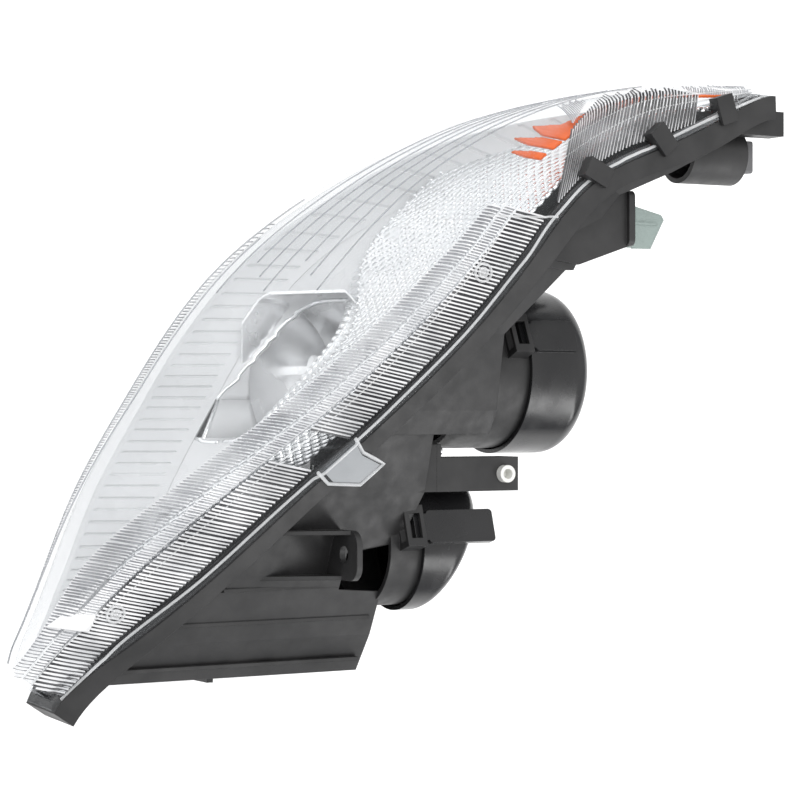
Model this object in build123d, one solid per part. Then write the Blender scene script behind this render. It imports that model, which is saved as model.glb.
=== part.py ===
from build123d import *

import os
from collections import namedtuple
from math import cos, radians, sin, sqrt

# A right-hand car headlight, as it sits on the car: -Y is ahead, +X is towards the middle of the car
# and +Z is up, in millimetres. The origin is the centre of the bolt hole in the outer bracket.
os.makedirs("parts", exist_ok=True)

# ---- Driving dimensions -------------------------------------------------------------------------

LENS_WALL = 2.8          # clear moulding
HOUSING_WALL = 3.0       # black moulding
TRIM_WALL = 2.0          # bright inner mouldings
CREST_DRAFT = 3.0        # how much lower the lens's top crest is than the rim behind it
FOOT_DRAFT = 4.0         # how much lower the rim is than the lens's bottom crest
CREST_RADIUS = 6.0       # rounding between the lens's face and its side walls
FACE_BULGE = 0.22        # crown of the face, as a slope at its two edges

RIM_OUT, RIM_IN = 6.0, 6.5           # the housing's rim, outside and inside the lens's wall line
RIM_DEPTH = 14.0
GROOVE_OUT, GROOVE_IN = 1.2, 4.0     # the rim's sealing groove
GROOVE_DEPTH = 5.5
LENS_LEG = 4.0                       # how far the lens's wall goes into the groove
LIP_OUT, LIP_NEAR, LIP_FAR = 5.0, 0.5, 3.0

# The lens's clear tab: its plane's origin on the rim, the outline in that plane, and the root that
# joins it to the lip.
TAB_CENTRE, TAB_SLOPE = (138.0, -184.5, -11.3), radians(20.5)
TAB_OUTLINE = [(7, -13), (14, -5), (15, 16), (2, 29), (-5, 14), (-13.5, 7.5)]
TAB_ROOT_OUTLINE = [(-8, 7.9), (5, -5.9), (5, -3.6), (-8, 10.2)]
TAB_WALL, TAB_ROOT = 2.2, 3.6

# The rim follows the corner of the car. Each station is an upright plane through (x, y) on the rim's
# top edge, turned from straight ahead towards the car's outer side. Ahead of it, in that plane, are
# the crest, which is the lens's top edge, and the foot, which is its lower front edge.
Station = namedtuple("Station", "x y turn top crest foot low rim")
STATIONS = [
    Station(276, -326, 34, -89, 28, 30, -101, 4),
    Station(244, -298, 10, -66, 45, 52, -90, 16),
    Station(205, -253, 0, -46, 60, 80, -99, 38),
    Station(158, -205, 0, -26, 56, 98, -122, 52),
    Station(110, -154, 0, -8, 48, 108, -150, 60),
    Station(65, -109, 0, 3, 45, 116, -166, 68),
    Station(25, -76, 3, 11, 42, 112, -159, 66),
    Station(-4, -55, 12, 16, 40, 89, -130, 50),
    Station(-28, -29, 26, 19, 37, 67, -84, 32),
    Station(-48, 14, 50, 23, 36, 41, -24, 16),
    Station(-67, 56, 72, 27, 18, 19, -4, 6),
    Station(-79, 86, 88, 29, 8, 9, 14, 3),
]

# The two lamps' axes run along Y. Each bowl is a parabola inside a box: half its width and height.
LOW_X, LOW_Z = 86.0, -88.0
LOW_FRONT, LOW_VERTEX, LOW_FOCUS = -190.0, -110.0, 16.0
LOW_HALF = (46.0, 35.0)
HIGH_X, HIGH_Z = 191.0, -80.0
HIGH_FRONT, HIGH_VERTEX, HIGH_FOCUS = -262.0, -190.0, 13.0
HIGH_HALF = (26.0, 13.5)
BULB_HOLE_R = 12.0
COLLAR_R, COLLAR_DEPTH = 17.0, 6.0   # seat of the bulb's flange, behind the vertex

# Necks on the housing's back, and their covers.
LOW_NECK_R, LOW_NECK_START, LOW_NECK_END = 47.5, -84.0, -30.0
HIGH_NECK_R, HIGH_NECK_START, HIGH_NECK_END = 36.5, -132.0, -104.0
LOW_COVER_END, HIGH_COVER_END = 9.0, -77.0
HIGH_COVER_SLANT = 25.0              # degrees that its end face turns inwards
COVER_WALL = 2.5
COVER_LAP = 7.0                      # how far a cover reaches over its neck
COVER_GAP = 0.9
COVER_EDGE, HIGH_COVER_EDGE = 13.0, 9.0              # rounding of a cover's rear edge
LOW_PLATE_END, HIGH_PLATE_END = -4.0, -63.0          # rear end of a cover's finger plate
PIN_R, PIN_HOLE_R = 1.6, 1.66
PIN_DROP = 7.0                       # hinge pin below the neck's wall
KNUCKLE_R, KNUCKLE_HALF = 3.3, 11.7
LATCH_TURN_LOW = 24.0                # where the latch is, in degrees round from the top
LATCH_TURN_HIGH = 17.0

# Aiming: the reflector tips about two ball studs and is pushed above them by a rod.
PIVOT_Y, PIVOT_Z = -178.0, -100.0
PIVOT_LEFT_X, PIVOT_RIGHT_X = 143.0, 231.0
BALL_R, SOCKET_R, STUD_R = 4.5, 4.85, 2.6
ROD_X, ROD_Z = 148.0, -48.0
ROD_R, ROD_END = 3.0, -68.0
DRIVE_Y = -59.0                      # the drive gear's upright axis
GEAR_NEAR, GEAR_FAR, GEAR_BACKLASH = 4.6, 7.6, 0.4   # from the point where the two gears' axes cross
GEAR_TEETH = 12
NUT_R, NUT_BORE_R, NUT_FRONT = 4.6, 3.07, -82.0
DRIVE_TOP, DRIVE_R, DRIVE_SOCKET_R, DRIVE_SOCKET_DEPTH = -30.0, 5.2, 3.0, 6.5
RUNNING_GAP = 0.08

BOLT_HOLE_R = 5.75                   # outer bracket
TOP_TAB_HOLE_R = 5.0
LOW_TAB_HOLE_R = 4.5
TOP_TAB = (193.0, -170.0, -29.0)     # centres of the other two bolt holes
LOW_TAB = (258.0, -222.0, -136.0)

# Side marker and turn signal: the tubes that their sockets close.
MARKER_X, MARKER_Z, MARKER_R, MARKER_START, MARKER_END = -46.0, 0.0, 15.0, 44.0, 84.0
TURN_X, TURN_Z, TURN_R, TURN_START, TURN_END = 6.0, -66.0, 15.0, -50.0, -6.0
SOCKET_HOLE_R = 11.0


# ---- Helpers ------------------------------------------------------------------------------------

def point(s, ahead, height):
    """A point of a station's plane, ahead of the rim and at a height."""
    a = radians(s.turn)
    return Vector(s.x - ahead * sin(a), s.y - ahead * cos(a), height)


def shifted_ends(grow):
    """The stations, with the first and last moved outwards along the rim by grow."""
    stations = list(STATIONS)
    for end, beside in ((0, 1), (-1, -2)):
        s, n = stations[end], stations[beside]
        along = Vector(s.x - n.x, s.y - n.y, 0).normalized() * grow
        stations[end] = s._replace(x=s.x + along.X, y=s.y + along.Y)
    return stations


def loft_rings(rings, ruled=False):
    """A solid through closed rings of points."""
    return Solid.make_loft([Wire.make_polygon(ring, close=True) for ring in rings], ruled)


def band(near, far, grow):
    """A slab along the whole rim, from near to far ahead of its plane, grown outwards by grow."""
    rings = []
    for s in shifted_ends(grow):
        lean = grow * s.rim / (s.top - s.low + FOOT_DRAFT)
        top, bottom = s.top + grow, s.low - FOOT_DRAFT - grow
        rings.append([
            point(s, near - lean, top),
            point(s, far - lean, top),
            point(s, s.rim + far + lean, bottom),
            point(s, s.rim + near + lean, bottom),
        ])
    return loft_rings(rings)


def lens_ring(s, inset, back):
    """The lens's outline in a station's plane, inset by a wall, as a wire."""
    top_crest = Vector(s.crest - inset * 1.08, s.top - CREST_DRAFT - inset)
    low_crest = Vector(s.foot - inset * 1.08, s.low + inset)
    chord = low_crest - top_crest
    length = chord.length
    radius = min(CREST_RADIUS, 0.2 * length)
    along, outward = chord / length, Vector(-chord.Y, chord.X) / length
    leave = (along + outward * FACE_BULGE).normalized()
    arrive = (along - outward * FACE_BULGE).normalized()
    start, end = top_crest + leave * radius, low_crest - arrive * radius
    flat = [
        Vector(back, s.top - inset),
        top_crest - Vector(radius, 0),
        top_crest,
        start,
        start + leave * (length / 3),
        end - arrive * (length / 3),
        end,
        low_crest,
        low_crest - Vector(radius, 0),
        Vector(s.rim + back, s.low - FOOT_DRAFT + inset),
    ]
    p = [point(s, v.X, v.Y) for v in flat]
    return Wire([
        Edge.make_line(p[0], p[1]),
        Edge.make_bezier(p[1], p[2], p[3]),
        Edge.make_bezier(p[3], p[4], p[5], p[6]),
        Edge.make_bezier(p[6], p[7], p[8]),
        Edge.make_line(p[8], p[9]),
        Edge.make_line(p[9], p[0]),
    ])


def lens_block(inset, back):
    """The whole space inside the lens's outline."""
    return Solid.make_loft([lens_ring(s, inset, back) for s in shifted_ends(-inset)])


def rod_along(axis, centre, start, end, radius):
    """A cylinder along Y or Z; centre is its other two coordinates."""
    if axis == "Y":
        at = Location((centre[0], start, centre[1]), (-90, 0, 0))
    else:
        at = Location((centre[0], centre[1], start))
    return at * Cylinder(radius, end - start, align=(Align.CENTER, Align.CENTER, Align.MIN))


def tube_along(axis, centre, start, end, outer, inner):
    return (rod_along(axis, centre, start, end, outer)
            - rod_along(axis, centre, start - 1, end + 1, inner))


def block(low, high):
    """A box between two corners."""
    size = [b - a for a, b in zip(low, high)]
    return Location(low) * Box(*size, align=Align.MIN)


def prism(outline, z, height):
    """A flat plate with an outline in X and Y."""
    return extrude(Plane.XY.offset(z) * make_face(Polyline(*outline, close=True)), height)


def turned(centre, start, profile):
    """A solid of revolution about the Y line through centre. Profile is radius and distance behind start."""
    plane = Plane(origin=(centre[0], start, centre[1]), x_dir=(1, 0, 0), z_dir=(0, 0, 1))
    return revolve(plane * make_face(profile), Axis((centre[0], start, centre[1]), (0, 1, 0)))


def whole(shape):
    """One shape of every solid in it, with no leftovers."""
    return Compound(shape.solids()) if len(shape.solids()) > 1 else shape.solids()[0]


def save(name, *shapes):
    solids = [s for shape in shapes for s in shape.solids()]
    export_step(solids[0] if len(solids) == 1 else Compound(children=solids), f"parts/{name}.step")


# ---- Lens and seal ------------------------------------------------------------------------------

def make_lens():
    shell = lens_block(0, -LENS_LEG) - lens_block(LENS_WALL, -LENS_LEG - 8)
    lip = band(LIP_NEAR, LIP_FAR, LIP_OUT) - band(LIP_NEAR - 1, LIP_FAR + 1, -1)
    return shell + lip + lens_tab()


def lens_tab():
    """The clear tab that leaves the lip and lies over the rim, along its slope."""
    across = (cos(TAB_SLOPE), 0, -sin(TAB_SLOPE))
    plane = Plane(TAB_CENTRE, x_dir=across, z_dir=(sin(TAB_SLOPE), 0, cos(TAB_SLOPE)))
    plate = extrude(plane * make_face(Polyline(*TAB_OUTLINE, close=True)), TAB_WALL)
    root = extrude(plane.offset(-TAB_ROOT) * make_face(Polyline(*TAB_ROOT_OUTLINE, close=True)),
                   TAB_ROOT + TAB_WALL / 2)
    return plate + root


def make_groove(mouth):
    """The sealing groove, from its floor to mouth ahead of the rim's plane."""
    return band(-GROOVE_DEPTH, mouth, GROOVE_OUT) - band(-GROOVE_DEPTH - 1, mouth + 1, -GROOVE_IN)


# ---- Housing ------------------------------------------------------------------------------------

# The body behind the rim, as upright sections across the car. Each is the rim's top edge (y, z), how far
# ahead and how low its bottom edge is, and the back wall: its y, its top and its bottom.
Section = namedtuple("Section", "x y top ahead low back back_top back_low")
INNER_BODY = [
    Section(267, -318, -82, 8, -101, -130, -90, -118),
    Section(244, -298, -66, 16, -94, -130, -73, -124),
    Section(205, -253, -46, 38, -103, -130, -53, -126),
    Section(158, -205, -26, 52, -126, -114, -35, -128),
    Section(122, -166, -13, 58, -146, -114, -24, -136),
]
OUTER_BODY = [
    Section(124, -168, -13, 58, -146, -76, -24, -142),
    Section(110, -154, -8, 60, -154, -76, -16, -146),
    Section(65, -109, 3, 68, -170, -78, -4, -146),
    Section(25, -76, 11, 66, -163, -38, 4, -142),
    Section(0, -58, 15, 52, -138, -22, 8, -128),
]
ARM_DEPTH = {6: 40, 7: 30, 8: 23, 9: 20, 10: 18, 11: 15}   # by station, from the rim's top edge back


def body_ring(c, inset, front):
    """A section's outline; front is how far behind the rim it starts."""
    return [
        (c.x, c.y + front, c.top - 1 - inset),
        (c.x, c.back - inset, c.back_top - inset),
        (c.x, c.back - inset, c.back_low + inset),
        (c.x, c.y - c.ahead + front, c.low + 1 + inset),
    ]


def body_block(sections, inset, front, inner_end=0, outer_end=0):
    """A loft of the sections, with its two end faces moved inwards."""
    first, last = sections[0], sections[-1]
    moved = [first._replace(x=first.x - inner_end), *sections[1:-1], last._replace(x=last.x + outer_end)]
    return loft_rings([body_ring(c, inset, front) for c in moved], ruled=True)


def arm_block(inset, front, end):
    """The outer arm behind the rim, up to its tip."""
    rings = []
    stations = shifted_ends(-end)
    for i, depth in ARM_DEPTH.items():
        s = stations[i]
        rings.append([
            point(s, -front, s.top - 1 - inset),
            point(s, -depth + inset, s.top - 5 - inset),
            point(s, s.rim - depth + inset, s.low - FOOT_DRAFT + 3 + inset),
            point(s, s.rim - front, s.low - FOOT_DRAFT + 1 + inset),
        ])
    return loft_rings(rings, ruled=True)


def outer_bracket():
    """The bracket behind the rim with the plate that takes the main bolt."""
    plate = block((-21, -2.1, -42), (12, 2.1, 15))
    plate = fillet(plate.edges().filter_by(Axis.Y), 4)
    outline = [(-21, 0), (12, 0), (24, -36), (21, -58), (-12, -40), (-24, -22)]
    walls = prism(outline, -40, 52)
    pocket = prism([(-17, -2.1), (8, -2.1), (19, -36), (16, -52), (-10, -36), (-19, -20)], -44, 52)
    return plate + (walls - pocket)


def top_tab():
    x, y, z = TOP_TAB
    plate = block((x - 14, y - 1.8, z - 24), (x + 15, y + 1.8, z + 16))
    plate = fillet(plate.edges().filter_by(Axis.Y).group_by(Axis.Z)[-1], 9)
    side = make_face(Polyline((y, z + 9), (y - 46, z - 9), (y - 46, z - 18), (y, z - 24), close=True))
    web = extrude(Plane.YZ.offset(x - 14) * side, 2.4)
    low_side = make_face(Polyline((y, z - 2), (y - 52, z - 24), (y, z - 30), close=True))
    low_web = extrude(Plane.YZ.offset(x + 12.6) * low_side, 2.4)
    return plate + web + low_web


def low_tab():
    x, y, z = LOW_TAB
    plate = block((x - 13, y - 2, z - 14), (x + 13, y + 2, z + 34))
    plate = fillet(plate.edges().filter_by(Axis.Y).group_by(Axis.Z)[0], 7)
    side = make_face(Polyline((y, z + 8), (y + 46, z + 20), (y + 46, z + 34), (y, z + 34), close=True))
    return plate + extrude(Plane.YZ.offset(x - 1.2) * side, 2.4)


def neck(x, z, radius, start, end, turn):
    """A neck with two hinge lugs below and a latch frame above."""
    tube = rod_along("Y", (x, z), start, end, radius)
    pin_y, pin_z = end - COVER_LAP, z - radius - PIN_DROP
    lugs = Part()
    for side in (-14.5, 14.5):
        lug = Location((x + side, pin_y, pin_z), (0, 90, 0)) * Cylinder(KNUCKLE_R, 5)
        lug += block((x + side - 2.5, end - 24, pin_z - 1), (x + side + 2.5, pin_y - 1.2, pin_z + 1.5))
        lug += block((x + side - 2.5, end - 24, pin_z - 1), (x + side + 2.5, pin_y - 4, pin_z + 11))
        lugs += lug
    lugs -= Location((x, pin_y, pin_z), (0, 90, 0)) * Cylinder(PIN_R, 60)
    return tube + lugs + about_axis(x, z, turn) * latch_frame(radius, end)


def about_axis(x, z, turn):
    """A place on a lamp's own axis, turned from the top towards the car's outer side."""
    return Location((x, 0, z)) * Location((0, 0, 0), (0, -turn, 0))


def latch_frame(radius, end):
    """The frame that a cover's tongue goes into, above the neck at (0, radius)."""
    low, high = (-12.5, end - 22, radius - 3), (12.5, end - 9, radius + 9.2)
    slot = block((-8.7, end - 23, radius + 1.4), (8.7, end - 5, radius + 7.0))
    window = block((-7.6, end - 19, radius + 3), (7.6, end - 11.6, radius + 12))
    return block(low, high) - slot - window


def stiffeners():
    """Long low ribs on the sloping roof, along the way the mould opens."""
    ribs = Part()
    for x, start, end, top in ((258, -300, -134, -76), (232, -276, -134, -62), (212, -246, -160, -52)):
        side = make_face(Polyline((start, top - 9), (start + 8, top + 1.5), (end, top - 4), (end, top - 14),
                                  close=True))
        ribs += extrude(Plane.YZ.offset(x) * side, 2.2)
    return ribs


def clip_hooks():
    """Three hooks over the lens's lip, along the outer end of the rim."""
    hooks = Part()
    for i in (8, 9, 10):
        s = STATIONS[i]
        hook = block((-6, -12, 1), (6, -4, 8)) + block((-6, -12, 6.2), (6, 5, 9))
        hooks += Location((s.x, s.y, s.top), (0, 0, -s.turn)) * hook
    return hooks


def lamp_tube(x, z, radius, start, end):
    """The outside of a tube that a quarter-turn socket closes."""
    return rod_along("Y", (x, z), start, end, radius + HOUSING_WALL)


def lamp_tube_space(x, z, radius, start, end):
    bore = rod_along("Y", (x, z), start - 6, end - HOUSING_WALL, radius)
    keyway = block((x - SOCKET_HOLE_R - 2.5, end - 12, z - 2.4), (x + SOCKET_HOLE_R + 2.5, end + 1, z + 2.4))
    return bore + rod_along("Y", (x, z), end - 12, end + 1, SOCKET_HOLE_R) + keyway


def housing_outside():
    outer = body_block(INNER_BODY, 0, 8) + body_block(OUTER_BODY, 0, 8) + arm_block(0, 8, 0)
    outer += neck(LOW_X, LOW_Z, LOW_NECK_R, LOW_NECK_START, LOW_NECK_END, LATCH_TURN_LOW)
    outer += neck(HIGH_X, HIGH_Z, HIGH_NECK_R, HIGH_NECK_START, HIGH_NECK_END, LATCH_TURN_HIGH)
    outer += lamp_tube(MARKER_X, MARKER_Z, MARKER_R, MARKER_START, MARKER_END)
    outer += lamp_tube(TURN_X, TURN_Z, TURN_R, TURN_START, TURN_END)
    outer += block((ROD_X - FLANGE_LEFT, -128, CASE_LOW), (ROD_X + CASE_HALF, CASE_FRONT, CASE_TOP))
    return outer + outer_bracket() + top_tab() + low_tab() + stiffeners()


def housing_inside():
    inner = body_block(INNER_BODY, HOUSING_WALL, -2, HOUSING_WALL, -HOUSING_WALL)
    inner += body_block(OUTER_BODY, HOUSING_WALL, -2, HOUSING_WALL, -2)
    inner += arm_block(HOUSING_WALL, 0, HOUSING_WALL)
    inner += rod_along("Y", (LOW_X, LOW_Z), -130, LOW_NECK_END + 1, LOW_NECK_R - HOUSING_WALL)
    inner += rod_along("Y", (HIGH_X, HIGH_Z), -160, HIGH_NECK_END + 1, HIGH_NECK_R - HOUSING_WALL)
    inner += lamp_tube_space(MARKER_X, MARKER_Z, MARKER_R, MARKER_START, MARKER_END)
    inner += lamp_tube_space(TURN_X, TURN_Z, TURN_R, TURN_START, TURN_END)
    return inner + rod_along("Y", (ROD_X, ROD_Z), -150, -100, ROD_R + 2.5)


def make_housing(lens):
    shell = housing_outside() - housing_inside()
    rim = band(-RIM_DEPTH, 0, RIM_OUT) - band(-RIM_DEPTH - 1, 1, -RIM_IN) - make_groove(1)
    shell += rim
    shell += clip_hooks()
    tip = STATIONS[-1]
    shell += block((tip.x + 7, tip.y - 14, tip.low - 2), (tip.x + 22, tip.y + 18, tip.top - 2))
    for x, y, z, r in ((0, 0, 0, BOLT_HOLE_R), (*TOP_TAB, TOP_TAB_HOLE_R), (*LOW_TAB, LOW_TAB_HOLE_R)):
        shell -= rod_along("Y", (x, z), y - 6, y + 6, r)
    for z in SCREW_Z:
        shell -= rod_along("Y", (SCREW_X, z), CASE_FRONT - 8, CASE_FRONT + 1, SCREW_R)
    # The lens's wall parts a sliver from the rim's inner end, which is left out.
    return max((shell - lens).solids(), key=lambda solid: solid.volume)


# ---- Bright inner trim --------------------------------------------------------------------------

# How far behind the lens the turn signal's reflector lies, and how far down the face it reaches,
# by station.
REFLECTOR_INSET = {2: 13, 3: 14, 4: 14, 5: 14, 6: 20, 7: 28, 8: 26, 9: 18, 10: 12}
REFLECTOR_REACH = {2: 0.28, 3: 0.27, 4: 0.27, 5: 0.27, 6: 0.5, 7: 0.68, 8: 0.85, 9: 0.85, 10: 0.8}
SHELF_STATIONS = range(1, 8)
BOWL_ROOM = [((33, -262, -131), (139, -96, -47)), ((158, -272, -101), (224, -150, -54))]
REFLEX_ROOM = ((-95, -92, -24), (-43, 16, 4))
REFLEX_WINDOW = ((-96, -93, -24.5), (-42.5, 16.5, 4.5))


def strip(paths, shift):
    """A thin curved sheet through one path per station, thickened by shift in each station's plane."""
    rings = []
    for i, path in paths.items():
        back = [(a + shift[0], h + shift[1]) for a, h in reversed(path)]
        rings.append([point(STATIONS[i], a, h) for a, h in [*path, *back]])
    return loft_rings(rings, ruled=True)


def make_turn_reflector():
    """The pillowed band behind the lens's upper half."""
    paths = {}
    for i, reach in REFLECTOR_REACH.items():
        s, inset = STATIONS[i], REFLECTOR_INSET[i]
        crest_z = s.top - CREST_DRAFT
        drop = min(9, 0.3 * (crest_z - s.low))
        low = (s.crest + reach * (s.foot - s.crest) - inset, crest_z + reach * (s.low - crest_z))
        paths[i] = [(min(12, s.crest - inset - 2), s.top - drop), (s.crest - inset, s.top - drop), low]
    sheet = strip(paths, (-TRIM_WALL, -TRIM_WALL))
    for low, high in (*BOWL_ROOM, REFLEX_WINDOW):
        sheet -= block(low, high)
    return whole(sheet - rod_along("Y", (TURN_X, TURN_Z), -200, -40, 13))


def make_bezel():
    """The finned shelf in front of and below the bowls."""
    paths = {}
    for i in SHELF_STATIONS:
        s = STATIONS[i]
        height = s.top - CREST_DRAFT - s.low
        front, rise = min(11, 0.25 * height + 3), min(22, 0.3 * height)
        reach = min(37, 0.5 * s.foot)
        paths[i] = [(s.foot - 10, s.low + front), (s.foot - 10 - reach, s.low + front + rise)]
    sheet = strip(paths, (0, -TRIM_WALL))
    for low, high in BOWL_ROOM:
        sheet -= block(low, high)
    return whole(sheet)


def make_side_reflex():
    """The amber strip just behind the lens, at its outer corner."""
    corner = STATIONS[6:11]
    outside, inside = (Solid.make_loft([lens_ring(s, inset, -inset) for s in corner]) for inset in (7, 10))
    return whole(Part(outside.wrapped) - Part(inside.wrapped) & block(*REFLEX_ROOM))


# ---- Beam reflector -----------------------------------------------------------------------------

def bowl_space(x, z, vertex, focus, half, front, grow):
    """The inside of a bowl: a parabola of revolution within a box, both grown outwards by grow."""
    depth = vertex + grow - front
    reach = 2 * sqrt(focus * depth)
    edges = [Bezier((0, 0), (reach / 2, 0), (reach, -depth)), Line((reach, -depth), (0, -depth)),
             Line((0, -depth), (0, 0))]
    parabola = turned((x, z), vertex + grow, edges)
    box = block((x - half[0] - grow, front, z - half[1] - grow),
                (x + half[0] + grow, vertex + grow, z + half[1] + grow))
    return parabola & fillet(box.edges().filter_by(Axis.Y), 6 + grow)


def bowl_walls(x, z, vertex, focus, half, front):
    outer = bowl_space(x, z, vertex, focus, half, front, TRIM_WALL)
    inner = bowl_space(x, z, vertex, focus, half, front - 2, 0)
    return outer + rod_along("Y", (x, z), vertex - 2, vertex + COLLAR_DEPTH, COLLAR_R), inner


def ball_socket(x, z):
    cup = block((x - 6.5, PIVOT_Y - 7, z - 6.5), (x + 6.5, PIVOT_Y + 2.5, z + 6.5))
    return cup - Location((x, PIVOT_Y, z), (0, 90, 0)) * Cylinder(SOCKET_R, 2 * SOCKET_R)


def clip_lug(x, z, vertex):
    """The lug that a bulb's wire clip hinges in."""
    y = vertex + CLIP_BEHIND
    lug = block((x - 5, vertex - 1, z - CLIP_PIVOT_DROP - 2.4), (x + 5, y + 2, z - CLIP_PIVOT_DROP + 2.4))
    return lug - Location((x, y, z - CLIP_PIVOT_DROP), (0, 90, 0)) * Cylinder(WIRE_R + 0.12, 20)


def make_beam_reflector():
    low_out, low_in = bowl_walls(LOW_X, LOW_Z, LOW_VERTEX, LOW_FOCUS, LOW_HALF, LOW_FRONT)
    high_out, high_in = bowl_walls(HIGH_X, HIGH_Z, HIGH_VERTEX, HIGH_FOCUS, HIGH_HALF, HIGH_FRONT)
    face_room = Solid.make_loft([lens_ring(s, 20, -150) for s in STATIONS[2:8]])
    low_out = low_out & face_room
    outline = [(133, -112), (133, -42), (164, -42), (170, -62), (214, -62), (240, -84), (240, -106), (214, -112)]
    plate = extrude(Plane.XZ.offset(187) * make_face(Polyline(*outline, close=True)), -3)
    reflector = low_out + high_out + plate - low_in - high_in
    for x in (PIVOT_LEFT_X, PIVOT_RIGHT_X):
        reflector += ball_socket(x, PIVOT_Z)
    reflector += ball_socket(ROD_X, ROD_Z)
    for x, z, vertex in ((LOW_X, LOW_Z, LOW_VERTEX), (HIGH_X, HIGH_Z, HIGH_VERTEX)):
        reflector += clip_lug(x, z, vertex)
        reflector -= rod_along("Y", (x, z), vertex - 20, vertex + 20, BULB_HOLE_R)
    return whole(reflector)


def make_shield(x, z, vertex, floor):
    """The cup that hides a bulb from in front, with its strut."""
    start = vertex - 50
    cup = rod_along("Y", (x, z), start, start + 14, 9) - rod_along("Y", (x, z), start + 0.8, start + 15, 8.2)
    return cup + block((x - 2.5, start + 2, floor), (x + 2.5, start + 3.2, z - 8.6))


# ---- Bulbs and sockets --------------------------------------------------------------------------

WIRE_R = 0.9
CLIP_BEHIND = 8.8                    # the clip's hinge, behind the bowl's vertex
CLIP_PIVOT_DROP, CLIP_HALF, CLIP_TOP = 19.0, 9.5, 17.0


def capsule(x, z, radius, tip, base):
    """A glass bulb along Y with a domed tip in front."""
    dome = Location((x, tip + radius, z)) * Sphere(radius)
    return dome + rod_along("Y", (x, z), tip + radius, base, radius)


def make_bulb(x, z, vertex):
    return capsule(x, z, 6, vertex - 40, vertex - 2)


def make_bulb_base(x, z, vertex):
    seat = vertex + COLLAR_DEPTH
    stem = rod_along("Y", (x, z), vertex - 2, seat, 8)
    flange = rod_along("Y", (x, z), seat, seat + 1.5, 15.5)
    plug = rod_along("Y", (x, z), seat + 1.5, seat + 20, 7.5)
    blades = Part()
    for side in (-4, 4):
        blades += block((x + side - 0.4, seat + 20, z - 3), (x + side + 0.4, seat + 28, z + 3))
    return stem + flange + plug + blades


def make_bulb_clip(x, z, vertex):
    """A hairpin of wire that holds the bulb's flange on its seat."""
    y, foot, top = vertex + CLIP_BEHIND, z - CLIP_PIVOT_DROP, z + CLIP_TOP
    corners = [(x - 0.5, y, foot), (x - CLIP_HALF, y, foot), (x - CLIP_HALF, y, top), (x + CLIP_HALF, y, top),
               (x + CLIP_HALF, y, foot), (x + 0.5, y, foot)]
    path = FilletPolyline(*corners, radius=2.5)
    return sweep(Plane(origin=path @ 0, z_dir=path % 0) * Circle(WIRE_R), path)


def make_socket(x, z, end, reach):
    """A quarter-turn socket: a body through the tube's end wall, two lugs inside, flange and grip outside."""
    body = rod_along("Y", (x, z), end - 18, end + 0.4, SOCKET_HOLE_R - 0.35)
    flange = rod_along("Y", (x, z), end + 0.35, end + 3.4, SOCKET_HOLE_R + 3.5)
    lugs = block((x - 2, end - 6, z - SOCKET_HOLE_R - 2), (x + 2, end - 3.35, z + SOCKET_HOLE_R + 2))
    grip = block((x - 10, end + 3.4, z - 4), (x + 10, end + reach, z + 4))
    grip = fillet(grip.edges().filter_by(Axis.Y), 2)
    return body + flange + lugs + grip - rod_along("Y", (x, z), end - 19, end - 8, 6.5)


def make_socket_bulb(x, z, end, glass, tip):
    """A wedge bulb: the glass envelope stands in front of its socket."""
    return capsule(x, z, glass, tip, end - 18.2) + rod_along("Y", (x, z), end - 18.2, end - 8, 6.4)


# ---- Covers -------------------------------------------------------------------------------------

def cover_cup(x, z, radius, start, end, slant, edge):
    """A cylinder from start to end whose end face turns inwards by slant and has a rounded edge."""
    cup = rod_along("Y", (x, z), start, end + 40, radius)
    turn = Location((x, end, z), (0, 0, -slant))
    cup -= turn * block((-200, 0, -200), (200, 200, 200))
    return fillet(cup.faces().sort_by(Axis.Y)[-1].edges(), edge)


def make_cover(x, z, neck_r, neck_end, end, slant, edge, turn, plate_end):
    """A cover: a lipped cap with a knuckle below, and a latch tongue and finger plate above."""
    start = neck_end - COVER_LAP
    inner_r = neck_r + COVER_GAP
    cover = cover_cup(x, z, inner_r + COVER_WALL, start, end, slant, edge)
    tongue = block((-8, neck_end - 14, neck_r + 2.2), (8, neck_end - 4, neck_r + 5.4))
    plate = block((-10, neck_end - 5, neck_r + 1), (10, plate_end, neck_r + 5.4))
    plate = fillet(plate.edges().filter_by(Axis.Z), 2.5)
    cover += about_axis(x, z, turn) * (tongue + plate)
    pin_z = z - neck_r - PIN_DROP
    knuckle = Location((x, start, pin_z), (0, 90, 0)) * Cylinder(KNUCKLE_R, 2 * KNUCKLE_HALF)
    knuckle += block((x - KNUCKLE_HALF, start - 1.2, pin_z), (x + KNUCKLE_HALF, start + 3.2, pin_z + 5.4))
    cover += knuckle
    cover -= cover_cup(x, z, inner_r, start - 1, end - COVER_WALL, slant, edge - COVER_WALL)
    return cover - Location((x, start, pin_z), (0, 90, 0)) * Cylinder(PIN_HOLE_R, 60)


def make_gasket(x, z, neck_r, neck_end):
    return tube_along("Y", (x, z), neck_end + 0.3, neck_end + 2, neck_r + COVER_GAP, neck_r - HOUSING_WALL)


def make_pin(x, z, neck_r, neck_end):
    pin = Location((x, neck_end - COVER_LAP, z - neck_r - PIN_DROP), (0, 90, 0))
    return pin * Cylinder(PIN_R, 2 * 18)


# ---- Aiming drive -------------------------------------------------------------------------------

CASE_FRONT, CASE_BACK = -106.0, -49.0
CASE_LOW, CASE_TOP, CASE_HALF = -55.4, -34.6, 10.2
FLANGE_LEFT = 18.0                   # how far the case's flange reaches to the left of the rod
SCREW_X = ROD_X - 14.0
SCREW_Z = (-51.5, -38.5)
SCREW_R = 1.4


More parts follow.
